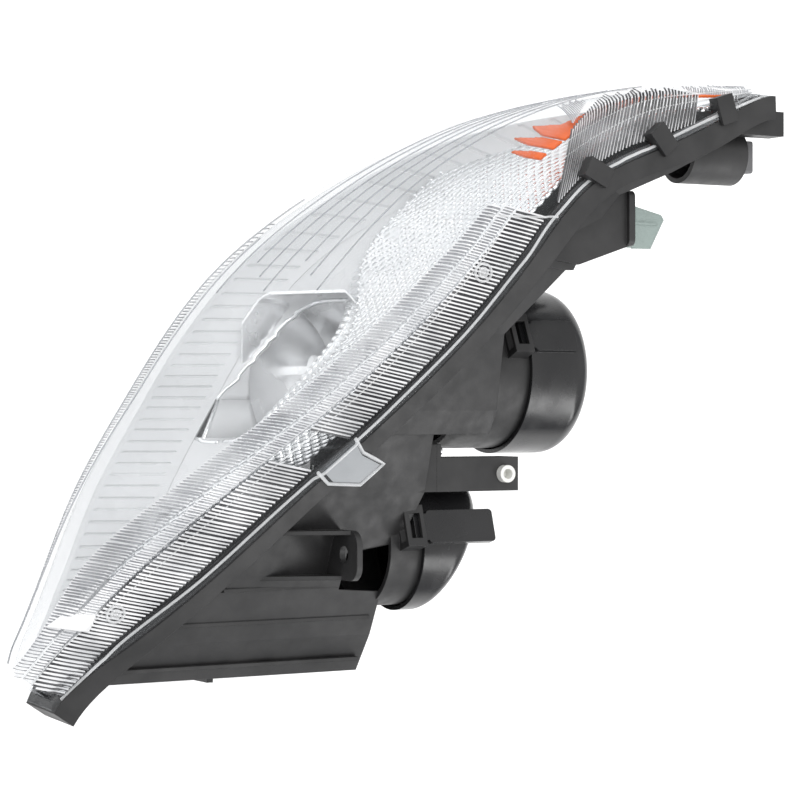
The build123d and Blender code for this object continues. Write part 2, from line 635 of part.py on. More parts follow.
def bevel_gear(height_to_back):
    """A bevel gear about +Z, its teeth facing down, measured from the point where the axes cross."""
    small, large = GEAR_NEAR - GEAR_BACKLASH, GEAR_FAR - GEAR_BACKLASH
    outline = [(0, GEAR_NEAR), (small, GEAR_NEAR), (large, GEAR_FAR), (large, height_to_back), (0, height_to_back)]
    gear = revolve(Plane.XZ * make_face(Polyline(*outline, close=True)), Axis.Z)
    for i in range(GEAR_TEETH):
        gap = Location((0, 0, 0), (0, 0, 360 * i / GEAR_TEETH)) * Location((5.7, 0, 5.7 - 0.2), (0, -45, 0))
        gear -= gap * Box(6, 1.3, 1.6)
    return gear


def make_drive_gear():
    """The gear that a screwdriver turns from above."""
    gear = bevel_gear(9.2) + Location((0, 0, 9)) * Cylinder(
        DRIVE_R, DRIVE_TOP - ROD_Z - 9, align=(Align.CENTER, Align.CENTER, Align.MIN))
    top = Location((0, 0, DRIVE_TOP - ROD_Z))
    gear -= top * Cylinder(DRIVE_SOCKET_R, 2 * DRIVE_SOCKET_DEPTH)
    return Location((ROD_X, DRIVE_Y, ROD_Z)) * gear


def make_gear_nut():
    """The gear that turns round the rod's thread and so pushes the rod."""
    gear = Location((0, 0, 0), (90, 0, 0)) * bevel_gear(9.5)
    gear = Location((ROD_X, DRIVE_Y, ROD_Z)) * gear
    gear += rod_along("Y", (ROD_X, ROD_Z), NUT_FRONT, DRIVE_Y - 9, NUT_R)
    return gear - rod_along("Y", (ROD_X, ROD_Z), NUT_FRONT - 1, DRIVE_Y, NUT_BORE_R)


def make_rod():
    rod = rod_along("Y", (ROD_X, ROD_Z), PIVOT_Y + 8, ROD_END, ROD_R)
    rod += rod_along("Y", (ROD_X, ROD_Z), PIVOT_Y, PIVOT_Y + 9, STUD_R)
    return rod + Location((ROD_X, PIVOT_Y, ROD_Z)) * Sphere(BALL_R)


def make_adjuster_case():
    """The case that both gears turn in, open below, screwed to the housing's boss."""
    x = ROD_X
    case = block((x - CASE_HALF, CASE_FRONT, CASE_LOW), (x + CASE_HALF, CASE_BACK, CASE_TOP))
    case += block((x - FLANGE_LEFT, CASE_FRONT, CASE_LOW), (x + CASE_HALF, CASE_FRONT + 3, CASE_TOP))
    case -= block((x - 8.2, DRIVE_Y - 10, ROD_Z - 20), (x + 8.2, DRIVE_Y + 8.2, ROD_Z + 9.6))
    case -= block((x - 8.2, CASE_FRONT + 3, ROD_Z - 20), (x + 8.2, NUT_FRONT - 1, ROD_Z + 9.6))
    case -= rod_along("Y", (x, ROD_Z), NUT_FRONT - 3, DRIVE_Y, NUT_R + RUNNING_GAP)
    case -= rod_along("Y", (x, ROD_Z), CASE_FRONT - 1, CASE_FRONT + 4, ROD_R + 2.5)
    case -= rod_along("Z", (x, DRIVE_Y), ROD_Z, ROD_Z + 20, DRIVE_R + RUNNING_GAP)
    for z in SCREW_Z:
        case -= rod_along("Y", (SCREW_X, z), CASE_FRONT - 1, CASE_FRONT + 4, SCREW_R)
    return case


def make_case_screws():
    screws = Part()
    for z in SCREW_Z:
        screws += rod_along("Y", (SCREW_X, z), CASE_FRONT - 7.5, CASE_FRONT + 3, SCREW_R)
        screws += rod_along("Y", (SCREW_X, z), CASE_FRONT + 3, CASE_FRONT + 5, 2.4)
    return screws


def make_pivot_studs():
    studs = Part()
    for x, wall in ((PIVOT_LEFT_X, -117), (PIVOT_RIGHT_X, -133)):
        studs += rod_along("Y", (x, PIVOT_Z), PIVOT_Y, wall, STUD_R)
        studs += rod_along("Y", (x, PIVOT_Z), wall - 8, wall - 0.1, 5)
        studs += Location((x, PIVOT_Y, PIVOT_Z)) * Sphere(BALL_R)
    return studs


# ---- Small outside pieces -----------------------------------------------------------------------

def make_locator_blade():
    """The thin blade behind the outer bracket that guides the bumper's edge."""
    outline = [(-14, 17), (-9, 38), (-6, 40), (12, 30), (12, 17)]
    blade = prism(outline, -11, 2.2)
    blade += block((-13.5, 2.1, -14), (11.5, 17.5, -8.8)) - block((-11, 4, -20), (9, 15, 0))
    return blade + block((-4, 16, -9), (-2.6, 34, -7.2))


def make_vent_cap():
    x, z, y = 256.0, -107.0, -130.0
    cap = rod_along("Y", (x, z), y, y + 9, 8)
    cap = fillet(cap.edges().sort_by(Axis.Y)[-1], 2.5)
    for i in range(6):
        slot = Location((x, y + 3, z), (0, 60 * i, 0)) * block((-1.2, -1, 4.5), (1.2, 3, 10))
        cap -= slot
    return cap


def make_connector():
    """The socket that the car's wiring plugs into."""
    low, high = (226, -130, -123), (246, -112, -109)
    shell = fillet(block(low, high).edges().filter_by(Axis.Y), 2)
    return shell - block((228, -127, -121), (244, -111, -111))


def make_connector_pins():
    pins = Part()
    for x in (231, 236, 241):
        pins += block((x - 0.8, -127, -117), (x + 0.8, -116, -115.4))
    return pins


# ---- Parts --------------------------------------------------------------------------------------

lens = make_lens()
save("outer_lens", lens)
save("lens_seal", make_groove(0) - lens)
save("housing", make_housing(lens))
save("bezel", make_bezel())
save("turn_signal_reflector", make_turn_reflector())
save("side_reflex", make_side_reflex())
save("beam_reflector", make_beam_reflector())
save("pivot_studs", make_pivot_studs())

LOW = (LOW_X, LOW_Z, LOW_VERTEX)
HIGH = (HIGH_X, HIGH_Z, HIGH_VERTEX)
for name, lamp, floor in (("low", LOW, LOW_Z - LOW_HALF[1]), ("high", HIGH, HIGH_Z - HIGH_HALF[1])):
    save(f"{name}_beam_bulb", make_bulb(*lamp))
    save(f"{name}_beam_bulb_base", make_bulb_base(*lamp))
    save(f"{name}_beam_bulb_clip", make_bulb_clip(*lamp))
    save(f"{name}_beam_shield", make_shield(*lamp, floor))

LOW_NECK = (LOW_X, LOW_Z, LOW_NECK_R, LOW_NECK_END)
HIGH_NECK = (HIGH_X, HIGH_Z, HIGH_NECK_R, HIGH_NECK_END)
save("low_beam_cover", make_cover(*LOW_NECK, LOW_COVER_END, 0, COVER_EDGE, LATCH_TURN_LOW, LOW_PLATE_END))
save("high_beam_cover", make_cover(*HIGH_NECK, HIGH_COVER_END, HIGH_COVER_SLANT, HIGH_COVER_EDGE,
                                   LATCH_TURN_HIGH, HIGH_PLATE_END))
for name, neck_place in (("low", LOW_NECK), ("high", HIGH_NECK)):
    save(f"{name}_cover_gasket", make_gasket(*neck_place))
    save(f"{name}_cover_pin", make_pin(*neck_place))

save("turn_socket", make_socket(TURN_X, TURN_Z, TURN_END, 12))
save("turn_bulb", make_socket_bulb(TURN_X, TURN_Z, TURN_END, 8.5, -55))
save("marker_socket", make_socket(MARKER_X, MARKER_Z, MARKER_END, 14))
save("marker_bulb", make_socket_bulb(MARKER_X, MARKER_Z, MARKER_END, 5, 50))

save("aim_drive_gear", make_drive_gear())
save("aim_gear_nut", make_gear_nut())
save("aim_rod", make_rod())
save("adjuster_case", make_adjuster_case())
save("adjuster_case_screws", make_case_screws())
save("locator_blade", make_locator_blade())
save("vent_cap", make_vent_cap())
save("wiring_connector", make_connector())
save("connector_pins", make_connector_pins())
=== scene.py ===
import math
from collections import namedtuple

import bmesh
import bpy
from mathutils import Matrix, Vector
from mathutils.bvhtree import BVHTree


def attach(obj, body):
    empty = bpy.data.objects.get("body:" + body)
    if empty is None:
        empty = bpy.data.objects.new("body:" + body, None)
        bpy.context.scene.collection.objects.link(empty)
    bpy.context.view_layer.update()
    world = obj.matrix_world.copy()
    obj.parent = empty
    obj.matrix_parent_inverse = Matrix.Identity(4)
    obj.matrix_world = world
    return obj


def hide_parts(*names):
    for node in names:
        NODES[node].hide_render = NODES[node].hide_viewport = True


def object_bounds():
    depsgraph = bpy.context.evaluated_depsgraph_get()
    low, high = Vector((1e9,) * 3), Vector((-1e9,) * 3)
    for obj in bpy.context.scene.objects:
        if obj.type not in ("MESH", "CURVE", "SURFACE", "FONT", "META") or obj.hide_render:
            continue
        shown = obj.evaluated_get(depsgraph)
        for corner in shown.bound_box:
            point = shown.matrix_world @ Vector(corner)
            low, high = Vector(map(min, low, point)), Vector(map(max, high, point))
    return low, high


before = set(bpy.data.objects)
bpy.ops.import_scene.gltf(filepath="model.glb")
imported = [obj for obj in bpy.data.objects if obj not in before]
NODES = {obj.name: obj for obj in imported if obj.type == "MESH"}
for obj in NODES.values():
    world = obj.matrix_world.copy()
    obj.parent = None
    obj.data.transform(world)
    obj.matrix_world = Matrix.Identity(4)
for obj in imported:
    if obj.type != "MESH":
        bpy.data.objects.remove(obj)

CAD_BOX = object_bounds()
MM = 0.001
UP = Vector((0, 0, 1))

# ---- Camera, light and floor, in metres ---------------------------------------------------------

LOOK_AT = Vector((0.1038, -0.1133, -0.0654))
VIEW_FROM = Vector((0, -0.5, 0.8660254))       # from the lamp towards the camera
VIEW_UP = Vector((-1, 0, 0))
VIEW_DISTANCE = 1.6
LENS_LENGTH = 120.0                            # of the camera, in mm
LIGHTS = {                                     # place from the lamp, size and watts
    "key": ((-0.9, -0.6, 1.6), (1.6, 1.6), 14),
    "rim_strip": ((0.9, 0.9, 0.9), (0.3, 1.6), 8),
}
HORIZON_TONE = (0.42, 0.43, 0.45, 1)
SKY_TONE = (1, 1, 1, 1)
SKY_HEIGHT = 0.62                              # where the sky reaches its full brightness
FLOOR_DROP = 0.12                              # floor below the lamp
FLOOR_SIZE = 20.0


def aim_at_lamp(obj, offset, up=UP):
    """Places an object at an offset from the lamp, with its -Z towards the lamp."""
    back = offset.normalized()
    right = up.cross(back).normalized()
    rotation = Matrix((right, back.cross(right), back)).transposed().to_4x4()
    obj.matrix_world = Matrix.Translation(LOOK_AT + offset) @ rotation


def make_camera():
    data = bpy.data.cameras.new("camera")
    data.lens = LENS_LENGTH
    camera = bpy.data.objects.new("camera", data)
    bpy.context.collection.objects.link(camera)
    aim_at_lamp(camera, VIEW_FROM * VIEW_DISTANCE, VIEW_UP)
    bpy.context.scene.camera = camera


def make_lights():
    for name, (place, size, watts) in LIGHTS.items():
        data = bpy.data.lights.new(name, "AREA")
        data.shape = "RECTANGLE"
        data.size, data.size_y = size
        data.energy = watts
        light = bpy.data.objects.new(name, data)
        bpy.context.collection.objects.link(light)
        aim_at_lamp(light, Vector(place))


def make_world():
    """A white studio: bright above, darker towards the floor's horizon."""
    world = bpy.data.worlds.new("studio")
    bpy.context.scene.world = world
    world.use_nodes = True
    nodes, links = world.node_tree.nodes, world.node_tree.links
    coords = nodes.new("ShaderNodeTexCoord")
    split = nodes.new("ShaderNodeSeparateXYZ")
    ramp = nodes.new("ShaderNodeValToRGB")
    horizon, sky = ramp.color_ramp.elements
    horizon.color = HORIZON_TONE
    sky.color = SKY_TONE
    sky.position = SKY_HEIGHT
    links.new(coords.outputs["Generated"], split.inputs[0])
    links.new(split.outputs["Z"], ramp.inputs[0])
    links.new(ramp.outputs[0], nodes["Background"].inputs["Color"])


def make_floor(material):
    low = CAD_BOX[0].z - FLOOR_DROP
    h = FLOOR_SIZE / 2
    mesh = bpy.data.meshes.new("floor")
    mesh.from_pydata([(-h, -h, low), (h, -h, low), (h, h, low), (-h, h, low)], [], [(0, 1, 2, 3)])
    mesh.materials.append(material)
    floor = bpy.data.objects.new("floor", mesh)
    bpy.context.collection.objects.link(floor)


# ---- Materials ----------------------------------------------------------------------------------

# Noise scales are in cycles per metre, and the sizes and depths of grain in millimetres.
NOISE_LOW, NOISE_HIGH = 0.35, 0.65             # the part of the noise's range that carries the change
BEVEL_SAMPLES = 4


class Finish:
    """A node-based material under construction."""

    def __init__(self, name):
        self.material = bpy.data.materials.new(name)
        self.material.use_nodes = True
        self.tree = self.material.node_tree
        self.shader = self.tree.nodes["Principled BSDF"]
        self.output = self.tree.nodes["Material Output"]
        self.place = self.tree.nodes.new("ShaderNodeTexCoord").outputs["Object"]

    def put(self, **values):
        for name, value in values.items():
            self.shader.inputs[name.replace("_", " ")].default_value = value

    def link(self, a, b):
        self.tree.links.new(a, b)

    def noise(self, scale, detail=3.0, stretch=None):
        """Noise over the lamp's own frame."""
        node = self.tree.nodes.new("ShaderNodeTexNoise")
        node.inputs["Scale"].default_value = scale
        node.inputs["Detail"].default_value = detail
        place = self.place
        if stretch:
            mapping = self.tree.nodes.new("ShaderNodeMapping")
            mapping.inputs["Scale"].default_value = stretch
            self.link(place, mapping.inputs["Vector"])
            place = mapping.outputs[0]
        self.link(place, node.inputs["Vector"])
        return node.outputs["Fac"]

    def remap(self, value, low, high, start=NOISE_LOW, end=NOISE_HIGH):
        node = self.tree.nodes.new("ShaderNodeMapRange")
        self.link(value, node.inputs["Value"])
        for name, number in (("From Min", start), ("From Max", end), ("To Min", low), ("To Max", high)):
            node.inputs[name].default_value = number
        return node.outputs[0]

    def math(self, operation, a, b):
        """Arithmetic on a socket and a number."""
        node = self.tree.nodes.new("ShaderNodeMath")
        node.operation = operation
        self.link(a, node.inputs[0])
        node.inputs[1].default_value = b
        return node.outputs[0]

    def colours(self, factor, dark, light):
        node = self.tree.nodes.new("ShaderNodeMix")
        node.data_type = "RGBA"
        self.link(factor, node.inputs[0])
        node.inputs[6].default_value = (*dark, 1)
        node.inputs[7].default_value = (*light, 1)
        self.link(node.outputs[2], self.shader.inputs["Base Color"])

    def grain(self, height, depth, edge=0.0):
        """Bump of a depth, over edges that are rounded in shading."""
        bump = self.tree.nodes.new("ShaderNodeBump")
        bump.inputs["Distance"].default_value = depth * MM
        self.link(height, bump.inputs["Height"])
        if edge:
            bevel = self.tree.nodes.new("ShaderNodeBevel")
            bevel.samples = BEVEL_SAMPLES
            bevel.inputs["Radius"].default_value = edge * MM
            self.link(bevel.outputs[0], bump.inputs["Normal"])
        self.link(bump.outputs[0], self.shader.inputs["Normal"])

    def roughness(self, value):
        self.link(value, self.shader.inputs["Roughness"])

    def facing(self, power, low, high):
        """Low head on, rising to high at grazing angles."""
        weight = self.tree.nodes.new("ShaderNodeLayerWeight")
        curve = self.math("POWER", weight.outputs["Facing"], power)
        return self.math("ADD", self.math("MULTIPLY", curve, high - low), low)

    def see_through(self, cover, tint=(1, 1, 1)):
        """Lets what is behind show; cover is how much of the surface's own shader stays."""
        clear = self.tree.nodes.new("ShaderNodeBsdfTransparent")
        clear.inputs[0].default_value = (*tint, 1)
        mix = self.tree.nodes.new("ShaderNodeMixShader")
        self.link(cover, mix.inputs[0])
        self.link(clear.outputs[0], mix.inputs[1])
        self.link(self.shader.outputs[0], mix.inputs[2])
        self.link(mix.outputs[0], self.output.inputs["Surface"])


def moulded(name, dark, light, rough, grain_size=0.5, depth=0.06, blotch=35.0, edge=0.7):
    """Moulded plastic, rubber or paper: two tones in soft blotches, with a fine grain."""
    f = Finish(name)
    f.put(IOR=1.48)
    f.colours(f.remap(f.noise(blotch, 4), 0, 1), dark, light)
    f.roughness(f.remap(f.noise(blotch * 3, 3), *rough))
    f.grain(f.noise(1 / (grain_size * MM), 2), depth, edge)
    return f.material


def metal(name, dark, light, rough, streak=(1, 1, 1), scale=60.0):
    """Bare or metallised surface with faint streaks."""
    f = Finish(name)
    f.put(Metallic=1.0)
    f.colours(f.remap(f.noise(scale, 4, streak), 0, 1), dark, light)
    f.roughness(f.remap(f.noise(scale * 2.5, 3, streak), *rough))
    f.grain(f.noise(scale * 8, 2, streak), depth=0.02, edge=0.4)
    return f.material


def clear_moulding(name, tone, cover, rough, tint=(1, 1, 1), power=4.0, ripple=0.03):
    """Clear plastic or glass: see-through head on, glossy at grazing angles."""
    f = Finish(name)
    f.put(IOR=1.5)
    f.colours(f.remap(f.noise(40, 3), 0, 1), tuple(c * 0.93 for c in tone), tone)
    f.roughness(f.remap(f.noise(90, 3), *rough))
    f.grain(f.noise(120, 2), ripple)
    f.see_through(f.facing(power, *cover), tint)
    return f.material


def prism_facet(name, dark, light, cover, patch_scale):
    """One side of a moulded prism, painted dark or bright in patches along the rim; the dark is painted shade
    and the bright is painted highlight.
    """
    f = Finish(name)
    f.put(IOR=1.5)
    f.colours(f.remap(f.noise(patch_scale * 2, 3), 0, 1), dark, light)
    f.roughness(f.remap(f.noise(90, 3), 0.08, 0.25))
    f.grain(f.noise(700, 2), depth=0.02)
    f.see_through(f.remap(f.noise(patch_scale, 2), *cover, start=0.38, end=0.58))
    return f.material


def floor_paper():
    """Seamless white paper, which glows a little as an evenly lit sweep does."""
    paper = moulded("floor_paper", (0.90, 0.90, 0.90), (0.93, 0.93, 0.93), (0.8, 0.9),
                    grain_size=4, depth=0.1, blotch=3, edge=0)
    shader = paper.node_tree.nodes["Principled BSDF"]
    shader.inputs["Emission Color"].default_value = (1, 1, 1, 1)
    shader.inputs["Emission Strength"].default_value = 0.3
    return paper


def clear_materials():
    return {
        # The clear lens's grey tone, seen most at grazing angles, is painted reflection of darker
        # surroundings.
        "lens": clear_moulding("clear_lens_painted_reflection", (0.62, 0.64, 0.66), (0.03, 0.80), (0.02, 0.06),
                               (0.972, 0.975, 0.978), power=3.0),
        # The grey of the moulded lines on the clear lens is painted shade.
        "line": clear_moulding("line_painted_shade", (0.42, 0.44, 0.47), (0.45, 0.9), (0.1, 0.25), power=2.0),
        # The prisms' colours are painted: dark and grey are painted shade and bright is painted highlight, as
        # clear facets show dark and bright by refraction.
        "prism_painted_shade": prism_facet("prism_painted_shade", (0.008, 0.008, 0.010), (0.03, 0.03, 0.034), (0.55, 1.0), 24),
        "prism_painted_half_shade": prism_facet("prism_painted_half_shade", (0.16, 0.165, 0.18), (0.34, 0.35, 0.37), (0.30, 0.85), 30),
        "prism_painted_highlight": prism_facet("prism_painted_highlight", (0.86, 0.87, 0.89), (0.97, 0.97, 0.98), (0.55, 0.9), 26),
        # The near-white of the clear beads, seam, bosses and tab rim is painted highlight.
        "bead": clear_moulding("bead_clear_painted_highlight", (0.95, 0.96, 0.97), (0.45, 0.95), (0.04, 0.12), power=2.0),
        "frosted": clear_moulding("frosted_tab", (0.50, 0.52, 0.54), (0.55, 0.85), (0.35, 0.5), ripple=0.1),
        "glass": clear_moulding("bulb_glass_look", (0.93, 0.94, 0.95), (0.10, 0.95), (0.01, 0.04), power=3.0),
        "amber_glass": clear_moulding("bulb_amber_look", (0.95, 0.42, 0.06), (0.45, 0.95), (0.03, 0.08),
                                      (1.0, 0.62, 0.25), power=2.0),
        "amber": clear_moulding("reflex_amber", (0.98, 0.17, 0.015), (0.72, 0.97), (0.08, 0.2),
                                (1.0, 0.45, 0.12), power=1.5, ripple=0.2),
        "smoke": clear_moulding("blade_smoke", (0.34, 0.40, 0.38), (0.62, 0.95), (0.12, 0.25),
                                (0.75, 0.82, 0.80), power=2.0, ripple=0.1),
    }


def moulded_materials():
    return {
        "floor": floor_paper(),
        "panel": moulded("panel_satin", (0.74, 0.745, 0.75), (0.86, 0.865, 0.87), (0.22, 0.4),
                         grain_size=1.5, depth=0.03, blotch=12, edge=0.3),
        "black": moulded("housing_black", (0.016, 0.016, 0.0165), (0.030, 0.0295, 0.030), (0.42, 0.56)),
        "cover": moulded("cover_black", (0.010, 0.010, 0.011), (0.018, 0.018, 0.019), (0.16, 0.30),
                         grain_size=1.2, depth=0.02, blotch=22, edge=0.6),
        "rubber": moulded("gasket_black", (0.012, 0.012, 0.012), (0.022, 0.022, 0.022), (0.6, 0.75),
                          grain_size=0.3),
        "sealant": moulded("sealant_grey", (0.03, 0.03, 0.032), (0.07, 0.07, 0.072), (0.3, 0.5),
                           grain_size=2.0, depth=0.3),
        "nylon": moulded("nylon_white", (0.72, 0.72, 0.69), (0.83, 0.83, 0.80), (0.32, 0.45),
                         grain_size=0.6, depth=0.04),
        "grey": moulded("socket_grey", (0.11, 0.11, 0.115), (0.16, 0.16, 0.165), (0.45, 0.6)),
    }


def metal_materials():
    return {
        "silver": metal("trim_bright", (0.86, 0.87, 0.88), (0.96, 0.965, 0.97), (0.16, 0.30), scale=25),
        "chrome": metal("bowl_chrome", (0.93, 0.935, 0.94), (0.98, 0.98, 0.985), (0.18, 0.32), scale=18),
        "steel": metal("steel_plated", (0.50, 0.50, 0.51), (0.66, 0.66, 0.67), (0.22, 0.38), (1, 1, 6)),
        "spring": metal("spring_steel", (0.42, 0.42, 0.43), (0.60, 0.60, 0.61), (0.2, 0.35), (6, 1, 1)),
        "base": metal("bulb_base_tin", (0.55, 0.55, 0.54), (0.72, 0.71, 0.69), (0.25, 0.4)),
        "brass": metal("pin_brass_look", (0.62, 0.47, 0.20), (0.78, 0.61, 0.30), (0.2, 0.35)),
    }


CAD_LOOKS = {
    "outer_lens": "lens", "lens_seal": "sealant", "housing": "black", "bezel": "silver",
    "turn_signal_reflector": "silver", "side_reflex": "amber", "beam_reflector": "chrome",
    "pivot_studs": "steel", "low_beam_bulb": "glass", "high_beam_bulb": "glass",
    "low_beam_bulb_base": "base", "high_beam_bulb_base": "base", "low_beam_bulb_clip": "spring",
    "high_beam_bulb_clip": "spring", "low_beam_shield": "chrome", "high_beam_shield": "chrome",
    "low_beam_cover": "cover", "high_beam_cover": "cover", "low_cover_gasket": "rubber",
    "high_cover_gasket": "rubber", "low_cover_pin": "steel", "high_cover_pin": "steel",
    "turn_socket": "grey", "turn_bulb": "amber_glass", "marker_socket": "grey", "marker_bulb": "glass",
    "aim_drive_gear": "nylon", "aim_gear_nut": "nylon", "aim_rod": "steel", "adjuster_case": "black",
    "adjuster_case_screws": "steel", "locator_blade": "smoke", "vent_cap": "rubber",
    "wiring_connector": "black", "connector_pins": "brass",
}


def dress_cad(looks):
    """Gives every CAD node its finish."""
    for name, look_name in CAD_LOOKS.items():
        slots = NODES[name].data.materials
        slots.clear()
        slots.append(looks[look_name])


# ---- The rim's stations -------------------------------------------------------------------------

# The rim follows the corner of the car. Each station is an upright plane through (x, y) on the rim's
# top edge, turned from straight ahead towards the car's outer side; ahead of it are the crest, which
# is the lens's top edge, and the foot, its lower front edge. Millimetres, as in the CAD model.
Station = namedtuple("Station", "x y turn top crest foot low")
STATIONS = [
    Station(276, -326, 34, -89, 28, 30, -101),
    Station(244, -298, 10, -66, 45, 52, -90),
    Station(205, -253, 0, -46, 60, 80, -99),
    Station(158, -205, 0, -26, 56, 98, -122),
    Station(110, -154, 0, -8, 48, 108, -150),
    Station(65, -109, 0, 3, 45, 116, -166),
    Station(25, -76, 3, 11, 42, 112, -159),
    Station(-4, -55, 12, 16, 40, 89, -130),
    Station(-28, -29, 26, 19, 37, 67, -84),
    Station(-48, 14, 50, 23, 36, 41, -24),
    Station(-67, 56, 72, 27, 18, 19, -4),
    Station(-79, 86, 88, 29, 8, 9, 14),
]
LAST = len(STATIONS) - 1
CREST_DRAFT = 3.0              # how far the crest lies below the rim's top edge
FACE_BULGE = 0.22
EVEN_STEPS = 900               # samples of the rim when places are spaced along it
RAY_REACH = 60.0
STEEPEST = 0.25                # least upward part of the normal of a top wall


def smooth_between(a, b, c, d, f):
    """Catmull-Rom interpolation between b and c."""
    return b + 0.5 * f * (c - a + f * (2 * a - 5 * b + 4 * c - d + f * (3 * (b - c) + d - a)))


def station(t):
    i = min(int(t), LAST - 1)
    rows = [STATIONS[max(i - 1, 0)], STATIONS[i], STATIONS[i + 1], STATIONS[min(i + 2, LAST)]]
    return Station(*[smooth_between(*column, t - i) for column in zip(*rows)])


def point(s, ahead, height):
    """A point of a station's plane in metres, ahead of the rim and at a height."""
    a = math.radians(s.turn)
    return Vector((s.x - ahead * math.sin(a), s.y - ahead * math.cos(a), height)) * MM


def evenly(start, end, pitch):
    """Station values from start to end, a pitch in mm apart along the rim."""
    values, travelled, before = [start], 0.0, None
    for k in range(EVEN_STEPS + 1):
        t = start + (end - start) * k / EVEN_STEPS
        here = point(station(t), 0, 0) / MM
        if before is not None:
            travelled += (here - before).length
            if travelled >= pitch:
                values.append(t)
                travelled -= pitch
        before = here
    return values


def tree_of(mesh):
    return BVHTree.FromPolygons([v.co.copy() for v in mesh.vertices],
                                [tuple(p.vertices) for p in mesh.polygons])


LENS = tree_of(NODES["outer_lens"].data)


def drop_on_lens(p):
    """The lens's top wall below or above a point, and its normal, or None where there is no wall."""
    ray = UP * RAY_REACH * MM
    place, normal = LENS.ray_cast(p + ray, -UP, 2 * ray.length)[:2]
    return None if place is None or normal.z < STEEPEST else (place, normal)


def forward_of(chord):
    """The unit vector square to a chord of a station's plane, on its forward side."""
    side = Vector((-chord.y, chord.x)).normalized()
    return -side if side.x < 0 else side


def face_point(s, across, inset=0.0):
    """A point under the lens's face: across is 0 at the crest and 1 at the foot."""
    top = Vector((s.crest, s.top - CREST_DRAFT))
    chord = Vector((s.foot, s.low)) - top
    bulge = chord.length * FACE_BULGE * across * (1 - across)
    flat = top + chord * across + forward_of(chord) * (bulge - inset)
    return point(s, flat.x, flat.y)


# ---- Mesh helpers, with sizes in mm and points in metres ----------------------------------------

TUBE_SIDES = 8
RIDGE_SINK = 0.2               # how far a ridge's underside lies below its surface


def outward(mesh, bm):
    """Puts a bmesh into a mesh, with its faces turned outward."""
    bmesh.ops.recalc_face_normals(bm, faces=bm.faces)
    bm.to_mesh(mesh)
    bm.free()
    return mesh


def listed_mesh(name, verts, faces, sides=()):
    """A mesh from lists; sides holds each face's material number."""
    mesh = bpy.data.meshes.new(name)
    mesh.from_pydata(verts, [], faces)
    for polygon, side in zip(mesh.polygons, sides):
        polygon.material_index = side
    mesh.validate()
    bm = bmesh.new()
    bm.from_mesh(mesh)
    return outward(mesh, bm)


def ridge_mesh(name, runs):
    """Triangular ridges with a material of their own on one side. A run is a list from ring_of."""
    verts, faces, sides = [], [], []
    for run in runs:
        if len(run) < 2:
            continue
        start = len(verts)
        for ring in run:
            verts.extend(ring)
        end = len(verts) - 4
        for a in range(start, end, 4):
            for side in range(4):
                n = (side + 1) % 4
                faces.append((a + side, a + n, a + 4 + n, a + 4 + side))
                sides.append(min(side, 1))
        faces.append((start + 3, start + 2, start + 1, start))
        faces.append((end, end + 1, end + 2, end + 3))
        sides.extend((1, 1))
    return listed_mesh(name, verts, faces, sides)


def ring_of(p, normal, along, width, height, lean=0.0):
    """A ridge's section: left foot, peak, right foot and underside. Its peak leans by a share of
    half its width."""
    side = along.cross(normal).normalized() * (width * MM / 2)
    return (p - side, p + side * lean + normal * height * MM, p + side, p - normal * RIDGE_SINK * MM)


def sheet_mesh(name, rows, thickness, keep=None):
    """A closed thin sheet through a grid of points, thickened behind it. Where keep is given, it
    decides about each face by its centre, row and column."""
    bm = bmesh.new()
    grid = [[bm.verts.new(p) for p in row] for row in rows]
    for r in range(len(rows) - 1):
        for c in range(len(rows[0]) - 1):
            corners = (grid[r][c], grid[r][c + 1], grid[r + 1][c + 1], grid[r + 1][c])
            if keep is None or keep(sum((v.co for v in corners), Vector()) / 4, r, c):
                bm.faces.new(corners)
    bmesh.ops.delete(bm, geom=[v for v in bm.verts if not v.link_faces], context="VERTS")
    bm.normal_update()
    front = bm.faces[:]
    edges = [tuple(e.verts) for e in bm.edges if len(e.link_faces) == 1]
    places = {v: v.co - v.normal * (thickness * MM) for v in bm.verts}
    behind = {v: bm.verts.new(place) for v, place in places.items()}
    for f in front:
        bm.faces.new([behind[v] for v in reversed(f.verts)])
    for a, b in edges:
        bm.faces.new((a, b, behind[b], behind[a]))
    return outward(bpy.data.meshes.new(name), bm)


def bead_mesh(name, places, radius, stretch):
    """Round beads at (point, direction) places, drawn out along the direction."""
    bm = bmesh.new()
    for p, along in places:
        turn = along.to_track_quat("Z", "Y").to_matrix().to_4x4()
        shape = Matrix.Translation(p) @ turn @ Matrix.Diagonal((1, 1, stretch, 1))
        bmesh.ops.create_uvsphere(bm, u_segments=14, v_segments=9, radius=radius * MM, matrix=shape)
    return outward(bpy.data.meshes.new(name), bm)


def tube_mesh(name, paths, radius):
    """Round rods along paths, closed at both ends."""
    bm = bmesh.new()
    turns = [math.tau * j / TUBE_SIDES for j in range(TUBE_SIDES)]
    for path in paths:
        rings = []
        for k, p in enumerate(path):
            along = (path[min(k + 1, len(path) - 1)] - path[max(k - 1, 0)]).normalized()
            side = along.cross(UP)
            side = side.normalized() if side.length > 0.01 else Vector((1, 0, 0))
            up = side.cross(along)
            rings.append([bm.verts.new(p + (side * math.cos(a) + up * math.sin(a)) * radius * MM)
                          for a in turns])
        for a, b in zip(rings, rings[1:]):
            for j in range(TUBE_SIDES):
                n = (j + 1) % TUBE_SIDES
                bm.faces.new((a[j], a[n], b[n], b[j]))
        bm.faces.new(list(reversed(rings[0])))
        bm.faces.new(rings[-1])
    return outward(bpy.data.meshes.new(name), bm)


def add_piece(mesh, body, materials, smooth):
    for m in materials:
        mesh.materials.append(m)
    for p in mesh.polygons:
        p.use_smooth = smooth
    piece = bpy.data.objects.new(mesh.name, mesh)
    bpy.context.collection.objects.link(piece)
    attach(piece, body)
    return piece


